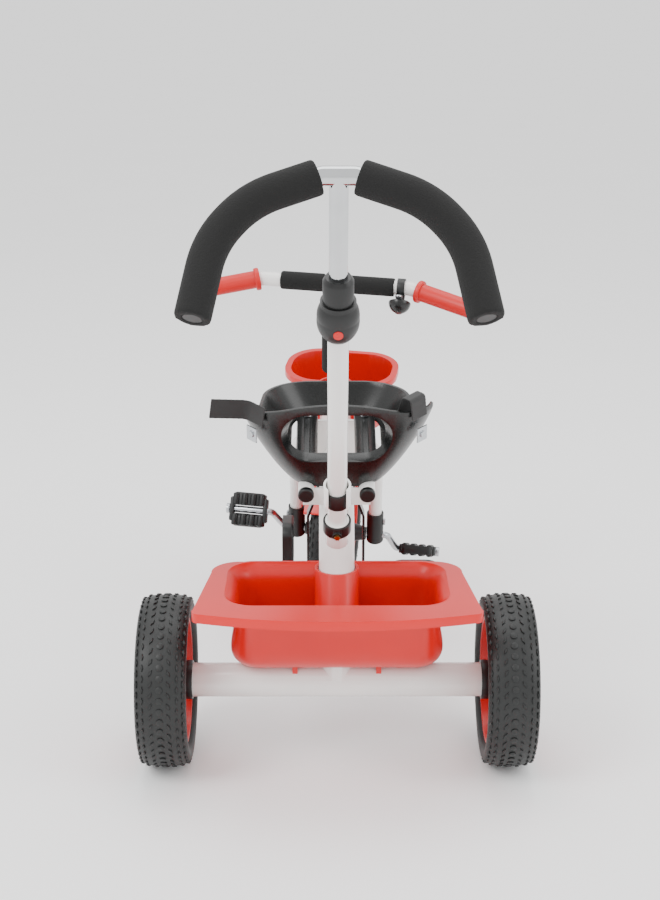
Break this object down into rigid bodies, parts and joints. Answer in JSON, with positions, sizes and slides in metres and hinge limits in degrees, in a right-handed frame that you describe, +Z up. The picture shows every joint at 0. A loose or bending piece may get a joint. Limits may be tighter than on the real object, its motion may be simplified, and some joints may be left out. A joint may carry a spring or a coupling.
{
  "type": "children's tricycle",
  "caption": "Child's pedal tricycle with a bucket seat and belt, folding footrests, front and rear baskets and a telescoping push handle.",
  "frame": {"origin": "on the ground, under the middle of the tricycle's box", "axes": "+Y forward, +X to the rider's right, +Z up"},
  "size_m": [0.4604, 0.8778, 0.7356],
  "materials": {
    "white_paint": "gloss",
    "black_plastic": "satin",
    "seat_plastic": "semi-gloss",
    "red_plastic": "gloss",
    "red_grip": "satin",
    "tyre_foam": "matte",
    "handle_foam": "matte foam",
    "chrome_tube": "polished",
    "zinc_steel": "zinc plated",
    "brass_bolt": "satin",
    "black_paint": "satin",
    "webbing": "woven"
  },
  "bodies": {
    "frame_body": {"frame": "white_paint", "rail_end_caps": "black_plastic", "rear_axle_rod": "zinc_steel", "axle_bushes": "black_plastic", "rear_axle_nuts": "zinc_steel", "seat_shell": "seat_plastic", "seat_bolts": "zinc_steel", "belt_anchors": "zinc_steel", "belt_strap_left": "webbing", "belt_strap_right": "webbing", "rear_basket": "red_plastic", "rear_basket_screws": "zinc_steel", "push_tube": "white_paint", "push_bushing": "black_plastic", "push_clamp": "black_plastic", "push_clamp_bolt": "brass_bolt", "lock_collar": "black_plastic", "button_spring": "zinc_steel", "footrest_bracket": "black_paint", "footrest_pins": "zinc_steel", "headset_cups": "black_plastic"},
    "rear_wheel_left": {"rear_rim_left": "red_plastic", "rear_tyre_left": "tyre_foam", "rear_hub_cap_left": "red_plastic"},
    "rear_wheel_right": {"rear_rim_right": "red_plastic", "rear_tyre_right": "tyre_foam", "rear_hub_cap_right": "red_plastic"},
    "push_handle": {"handle_tube": "chrome_tube", "foam_grip_left": "handle_foam", "foam_grip_right": "handle_foam", "handle_end_plugs": "black_plastic"},
    "lock_button_body": {"lock_button": "red_plastic"},
    "footrest_left_body": {"footrest_left": "black_plastic"},
    "footrest_right_body": {"footrest_right": "black_plastic"},
    "steering": {"fork": "white_paint", "axle_holders": "black_plastic", "holder_bolts": "zinc_steel", "front_mudguard": "red_plastic", "mudguard_screw": "zinc_steel", "steerer_nut": "zinc_steel", "handlebar": "white_paint", "bar_foam_left": "handle_foam", "bar_foam_right": "handle_foam", "stem_foam": "handle_foam", "grip_left": "red_grip", "grip_right": "red_grip", "bell_base": "black_plastic", "bell_dome": "black_paint", "front_basket": "red_plastic", "basket_bracket": "white_paint", "basket_screw": "zinc_steel"},
    "bell_lever_body": {"bell_lever": "zinc_steel"},
    "front_wheel": {"front_tyre": "tyre_foam", "front_rim": "red_plastic", "hub_cones": "black_plastic", "crank_rod": "zinc_steel", "pedal_caps": "zinc_steel"},
    "pedal_left_body": {"pedal_left": "black_plastic"},
    "pedal_right_body": {"pedal_right": "black_plastic"}
  },
  "joints": [
    {"name": "rear_wheel_left_spin", "type": "hinge", "parent": "frame_body", "child": "rear_wheel_left", "pos_m": [-0.2, -0.1367, 0.1015], "axis": [1, 0, 0], "continuous": true},
    {"name": "rear_wheel_right_spin", "type": "hinge", "parent": "frame_body", "child": "rear_wheel_right", "pos_m": [0.2, -0.1367, 0.1015], "axis": [1, 0, 0], "continuous": true},
    {"name": "steering_turn", "type": "hinge", "parent": "frame_body", "child": "steering", "pos_m": [0, 0.30747, 0.12334], "axis": [0, -0.2079, 0.9781], "range_deg": [-30, 50]},
    {"name": "front_wheel_spin", "type": "hinge", "parent": "steering", "child": "front_wheel", "pos_m": [0.00139, 0.31518, 0.12498], "axis": [0.9848, -0.1699, -0.0361], "continuous": true},
    {"name": "pedal_left_spin", "type": "hinge", "parent": "front_wheel", "child": "pedal_left_body", "pos_m": [-0.12064, 0.26236, 0.17482], "axis": [0.9848, -0.1699, -0.0361], "continuous": true},
    {"name": "pedal_right_spin", "type": "hinge", "parent": "front_wheel", "child": "pedal_right_body", "pos_m": [0.12341, 0.368, 0.07513], "axis": [0.9848, -0.1699, -0.0361], "continuous": true},
    {"name": "footrest_left_fold", "type": "hinge", "parent": "frame_body", "child": "footrest_left_body", "pos_m": [-0.062, 0.0983, 0.145], "axis": [0, -1, 0], "range_deg": [0, 90]},
    {"name": "footrest_right_fold", "type": "hinge", "parent": "frame_body", "child": "footrest_right_body", "pos_m": [0.062, 0.0983, 0.145], "axis": [0, -1, 0], "range_deg": [0, 90]},
    {"name": "handle_slide", "type": "slide", "parent": "frame_body", "child": "push_handle", "axis": [0, -0.4226, 0.9063], "range_m": [0, 0.18]},
    {"name": "lock_button_press", "type": "slide", "parent": "frame_body", "child": "lock_button_body", "axis": [0, 0.9063, 0.4226], "range_m": [0, 0.002], "stiffness_N_per_m": 600},
    {"name": "bell_lever_flick", "type": "hinge", "parent": "steering", "child": "bell_lever_body", "pos_m": [0.08423, 0.20107, 0.4841], "axis": [0.1228, 0.5341, 0.8364], "range_deg": [0, 25], "stiffness_Nm_per_rad": 0.02}
  ]
}
